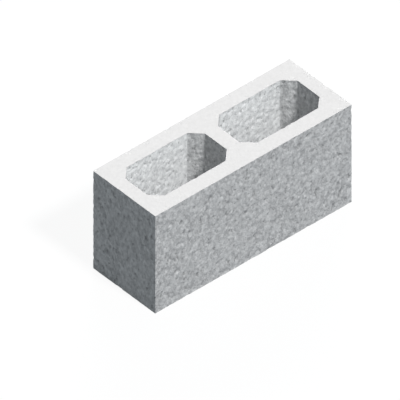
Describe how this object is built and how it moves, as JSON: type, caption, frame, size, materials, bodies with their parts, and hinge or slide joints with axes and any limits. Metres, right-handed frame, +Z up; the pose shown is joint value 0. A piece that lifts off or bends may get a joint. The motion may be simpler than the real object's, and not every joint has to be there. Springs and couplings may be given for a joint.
{
  "type": "concrete block",
  "caption": "Hollow concrete masonry block with flat ends and open cores that taper upwards and have chamfered corners, laid in mortar to build walls.",
  "frame": {"origin": "middle of the bottom bed face, under the middle web", "axes": "+X along the block's length, +Y across the wall's thickness, +Z up from the bottom bed to the top bed"},
  "size_m": [0.39, 0.14, 0.19],
  "materials": {
    "concrete": "matte"
  },
  "bodies": {
    "root": {"block": "concrete"}
  },
  "joints": []
}
